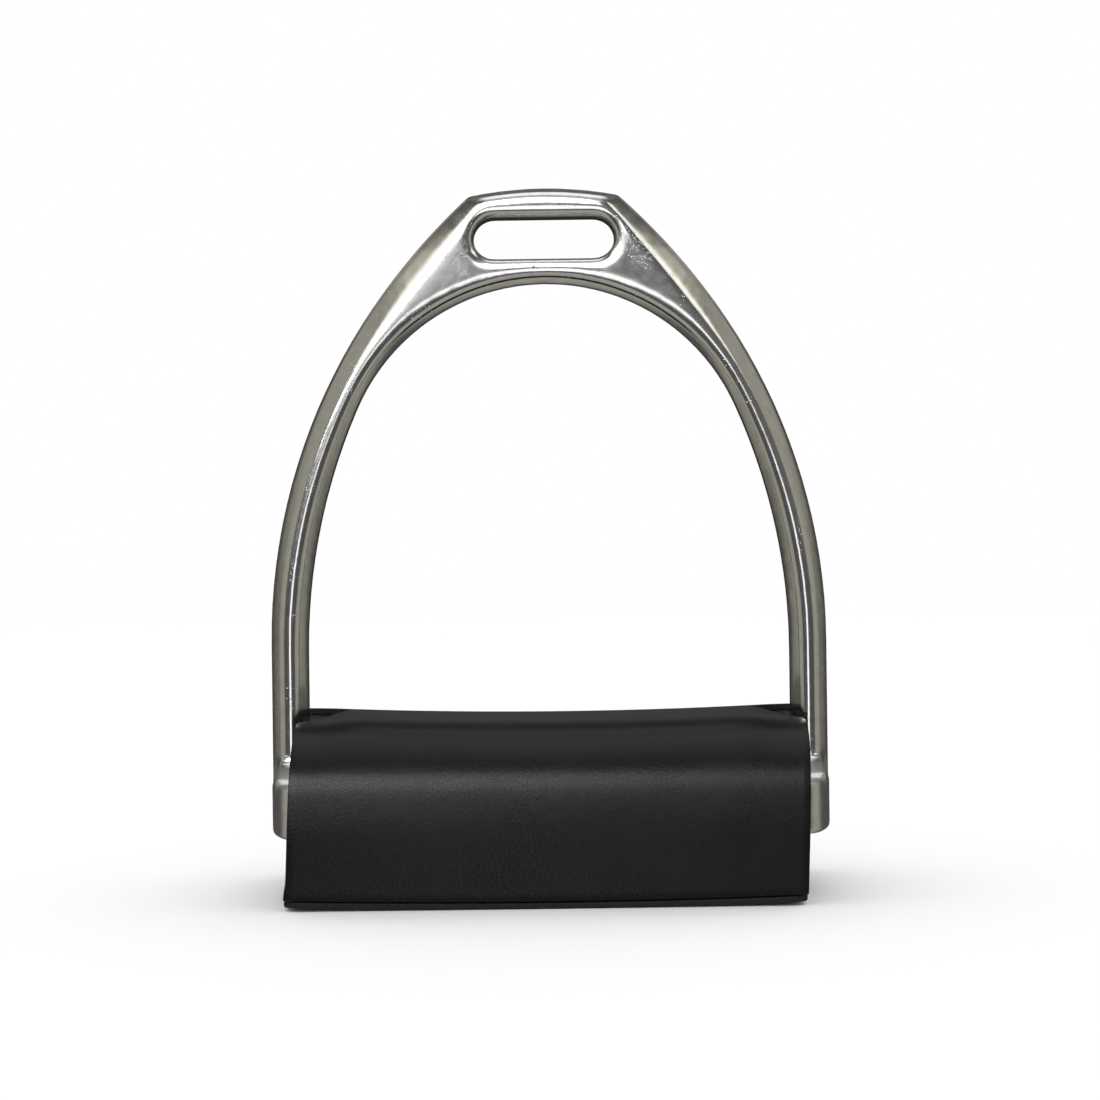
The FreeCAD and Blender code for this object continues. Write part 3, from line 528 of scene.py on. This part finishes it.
def make_flap():
    def flap_end(y, z):
        past = abs(y) - (COVER_HALF - FLAP_CORNER)
        if past <= 0:
            return COVER_END
        return COVER_END - FLAP_CORNER + math.sqrt(max(FLAP_CORNER ** 2 - past ** 2, 0.0))

    rows = 44
    path = [(-COVER_HALF + 2 * COVER_HALF * index / rows, flap_high.z)
            for index in range(rows + 1)]
    sole = sheet_along(path, COLUMNS, flap_end)
    sole = layer("flap_sole", sole, LEATHER, [HIDE, CUT_EDGE], rim=1)
    leather = finish_piece("flap_leather_skin", sole, [HIDE, CUT_EDGE], "flap", "flap_leather")
    ease_edges(leather, 0.3 * MM)

    block = bmesh.new()
    bmesh.ops.create_cube(block, size=1.0)
    size = flap_foam_high - flap_foam_low
    middle = (flap_foam_high + flap_foam_low) / 2
    bmesh.ops.scale(block, vec=size, verts=block.verts)
    bmesh.ops.translate(block, vec=middle, verts=block.verts)
    long_edges = [edge for edge in block.edges
                  if abs(edge.verts[0].co.x - edge.verts[1].co.x) > COVER_END]
    bmesh.ops.subdivide_edges(block, edges=long_edges, cuts=40, use_grid_fill=True)
    settled(block)
    foam = finish_piece("flap_foam_pad", block, [SPONGE], "flap", "flap_foam")
    ease_edges(foam, 0.6 * MM)

    front, back = flap_lining_low.y, flap_lining_high.y
    low, top = flap_lining_low.z, flap_lining_high.z
    angles = [math.pi / 2 * index / 5 for index in range(6)]
    bend = [(LINING_BEND * (1 - math.cos(a)), LINING_BEND * math.sin(a)) for a in angles]
    side = [low + (top - LINING_BEND - low) * index / 5 for index in range(5)]
    width = back - front - 2 * LINING_BEND
    path = [(front, z) for z in side]
    path += [(front + away, top - LINING_BEND + rise) for away, rise in bend]
    path += [(front + LINING_BEND + width * index / 16, top) for index in range(1, 16)]
    path += [(back - away, top - LINING_BEND + rise) for away, rise in reversed(bend)]
    path += [(back, z) for z in reversed(side)]
    cloth = sheet_along(path, COLUMNS, lambda y, z: COVER_END - LINING_SHY)
    cloth = layer("flap_cloth", cloth, LINING, [CLOTH])
    lining = finish_piece("flap_lining_cloth", cloth, [CLOTH], "flap", "flap_lining")
    ease_edges(lining, 0.2 * MM)


def make_strip(name, node, body, low, high, faces_up):
    """A tape with a bare border and rows of small hooks or loops standing on it."""
    bm = bmesh.new()
    thickness = (high.z - low.z) / 2
    root = low.z if faces_up else high.z
    turn = 1 if faces_up else -1
    length, depth = high.x - low.x, high.y - low.y - 2 * TAPE_BORDER
    bmesh.ops.create_cube(bm, size=1.0)
    bmesh.ops.scale(bm, vec=(length, high.y - low.y, thickness), verts=bm.verts)
    middle = Vector(((high.x + low.x) / 2, (high.y + low.y) / 2, root + turn * thickness / 2))
    bmesh.ops.translate(bm, vec=middle, verts=bm.verts)
    long_edges = [edge for edge in bm.edges
                  if abs(edge.verts[0].co.x - edge.verts[1].co.x) > 0.9 * length]
    bmesh.ops.subdivide_edges(bm, edges=long_edges, cuts=30, use_grid_fill=True)
    across = int((length - TAPE_BORDER) / LOOP_GRID)
    deep = int(depth / (LOOP_GRID * 0.75))
    for column in range(across):
        for row in range(deep):
            x = low.x + TAPE_BORDER / 2 + LOOP_GRID * (column + 0.5 + 0.25 * (row % 2))
            y = low.y + TAPE_BORDER + depth * (row + 0.5) / deep
            made = bmesh.ops.create_cone(bm, segments=5, radius1=0.26 * MM, radius2=0.18 * MM,
                                         depth=thickness * 0.98, cap_ends=True)["verts"]
            tip = [vert for vert in made if vert.co.z > 0]
            if faces_up:
                bmesh.ops.translate(bm, vec=(0.35 * MM * (1 if row % 2 else -1), 0, 0), verts=tip)
            else:
                bmesh.ops.scale(bm, vec=(1.9, 1.2, 1.0), verts=tip)
                bmesh.ops.rotate(bm, cent=(0, 0, 0), matrix=Matrix.Rotation(math.pi, 3, "X"),
                                 verts=made)
            bmesh.ops.translate(bm, vec=(x, y, root + turn * thickness * 1.49), verts=made)
    settled(bm)
    bmesh.ops.recalc_face_normals(bm, faces=bm.faces)
    finish_piece(name, bm, [TAPE], body, node, smooth=False)


def make_stitches(name, node, body, rows, half_length, out):
    """Rows of stitches along X. A row is (y, z); out points away from what they are sewn to."""
    bm = bmesh.new()
    count = int(half_length * 2 // STITCH_PITCH)
    out = Vector(out)
    for y, z in rows:
        for index in range(count):
            x = STITCH_PITCH * (index - (count - 1) / 2)
            made = bmesh.ops.create_icosphere(bm, subdivisions=2, radius=1.0)["verts"]
            for vert in made:
                along = vert.co.x
                bow = out * (0.55 * THREAD * (1 - along ** 2) - 0.35 * THREAD)
                slim = Vector((0, vert.co.y, vert.co.z)) * THREAD
                vert.co = Vector((x + along * STITCH_LENGTH / 2, y, z)) + bow + slim
    settled(bm)
    finish_piece(name, bm, [THREAD_FINISH], body, node)


make_iron()
make_cover()
make_flap()
make_strip("hook_tape", "hook_strip", "flap", hook_low, hook_high, True)
make_strip("loop_tape", "loop_strip", "iron_and_cover", loop_low, loop_high, False)
make_stitches("hook_tape_stitches", "hook_strip_stitches", "flap",
              [(hook_seam_low.y + THREAD, hook_seam_high.z - THREAD),
               (hook_seam_high.y - THREAD, hook_seam_high.z - THREAD)],
              hook_seam_high.x, (0, 0, 1))
make_stitches("loop_tape_stitches", "loop_strip_stitches", "iron_and_cover",
              [(loop_seam_low.y + THREAD, loop_seam_low.z + THREAD),
               (loop_seam_high.y - THREAD, loop_seam_low.z + THREAD)],
              loop_seam_high.x, (0, 0, -1))
make_stitches("hinge_seam_stitches", "hinge_stitches", "iron_and_cover",
              [(COVER_HALF, (hinge_seam_low.z + hinge_seam_high.z) / 2)],
              hinge_seam_high.x, (0, 1, 0))
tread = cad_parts["tread_rubber"]
tread.data.materials.clear()
tread.data.materials.append(RUBBER)


# ---- floor, light and camera ----

def floor_recipe(finish):
    shade = finish.noise(finish.place(), 3.0, 2.0)
    return {"Base Color": finish.blend(shade, (0.87, 0.87, 0.87), (0.89, 0.89, 0.89))}


def make_floor():
    bm = bmesh.new()
    bmesh.ops.create_circle(bm, cap_ends=True, segments=96, radius=2.5)
    mesh = bpy.data.meshes.new("floor")
    bm.to_mesh(mesh)
    bm.free()
    floor = bpy.data.objects.new("floor", mesh)
    paint = material("pale_floor", floor_recipe, Roughness=0.9, Specular_IOR_Level=0.1)
    mesh.materials.append(paint)
    bpy.context.scene.collection.objects.link(floor)
    floor.visible_glossy = False


def make_sky():
    """White to look at and to light the room. What polished steel mirrors is a studio: a softbox
    and a strip light in front, a ceiling light, a hair light, a lit table and darker walls."""
    world = bpy.data.worlds.new("studio")
    bpy.context.scene.world = world
    world.use_nodes = True
    finish = Finish(world.node_tree)
    toward = finish.add("ShaderNodeTexCoord", output="Generated")
    x, y, z = finish.split(toward)
    aside = x.maths("ABSOLUTE")
    front = y.fall(-0.55, -0.15)
    wall = aside.rise(0.6, 0.84) * 0.31 + 0.10
    back = y.rise(0.05, 0.35) * z.rise(-0.45, -0.15) * z.fall(0.5, 0.8)
    strip = front * (x + 0.01).maths("ABSOLUTE").fall(0.04, 0.10)
    strip = strip * z.rise(-0.3, -0.2) * z.fall(-0.01, 0.06)
    ahead = front * z.rise(0.02, 0.08) * z.fall(0.25, 0.4) * 0.06
    softbox = front * z.rise(0.20, 0.28) * z.fall(0.50, 0.62)
    softbox = softbox * x.rise(-0.6, -0.45) * x.fall(0.0, 0.12)
    crest = y.rise(0.6, 0.85) * z.rise(0.05, 0.2) * aside.fall(0.12, 0.25) * 0.14
    hair = aside.rise(0.40, 0.48) * aside.fall(0.69, 0.76)
    hair = hair * z.rise(0.38, 0.46) * z.fall(0.64, 0.72) * (y.fall(-0.1, 0.1) * 0.75 + 0.25)
    glow = front * x.fall(-0.06, -0.015) * x.rise(-0.4, -0.25)
    glow = glow * z.rise(0.05, 0.09) * z.fall(0.2, 0.3)
    overhead = z.rise(0.86, 0.95)
    fill = z.rise(0.42, 0.6) * y.fall(0.3, 0.65) * aside.fall(0.15, 0.35)
    table = front * z.rise(-0.8, -0.65) * z.fall(-0.5, -0.4)
    below = z.fall(-0.85, -0.55) * 0.34
    light = wall * (1 - back * 0.75) + ahead + strip * 2.2 + softbox * 8.5 + glow * 0.7
    light = light + crest + fill * 0.5 + overhead * 0.8 + table * 0.35 + hair * 1.5 + below
    warm = aside.rise(0.35, 0.8) + z.fall(-0.8, -0.5)
    tint = finish.blend(warm.clamped(), (0.97, 0.98, 1.0), (1.0, 0.97, 0.84))
    seen = finish.add("ShaderNodeLightPath", output="Is Camera Ray")
    mirrored = finish.add("ShaderNodeLightPath", output="Is Glossy Ray")
    room = finish.add("ShaderNodeBackground", None, Color=tint, Strength=light)
    white = finish.add("ShaderNodeBackground", None, Color=(1, 1, 1, 1), Strength=1.0)
    ambient = finish.add("ShaderNodeBackground", None, Color=(1, 1, 1, 1), Strength=1.16)
    unseen = finish.add("ShaderNodeMixShader", None, [mirrored, ambient, room])
    mixed = finish.add("ShaderNodeMixShader", None, [seen, unseen, white])
    out = world.node_tree.nodes.new("ShaderNodeOutputWorld")
    world.node_tree.links.new(mixed.socket, out.inputs[0])


def make_light():
    """One weak overhead light, for the shadow under the cover."""
    place = Vector((0, 0.1, 1.3))
    aim = Vector((0, 0, 0.08))
    lamp = bpy.data.lights.new("overhead", "AREA")
    lamp.shape = "RECTANGLE"
    lamp.size = lamp.size_y = 1.6
    lamp.energy = 0.6
    holder = bpy.data.objects.new("overhead", lamp)
    holder.location = place
    holder.rotation_euler = (aim - place).to_track_quat("-Z", "Y").to_euler()
    bpy.context.scene.collection.objects.link(holder)


def make_camera():
    lens = bpy.data.cameras.new("camera")
    lens.sensor_width = 36.0
    lens.lens = 78.5
    lens.clip_start = 0.01
    camera = bpy.data.objects.new("camera", lens)
    place = Matrix.Translation((0.56 * MM, -600 * MM, 84.9 * MM))
    roll = Matrix.Rotation(math.radians(0.745), 4, "Y")
    level = Matrix.Rotation(math.radians(90), 4, "X")
    camera.matrix_world = place @ roll @ level
    bpy.context.scene.collection.objects.link(camera)
    bpy.context.scene.camera = camera


make_floor()
make_sky()
make_light()
make_camera()
bpy.context.scene.view_settings.view_transform = "Standard"
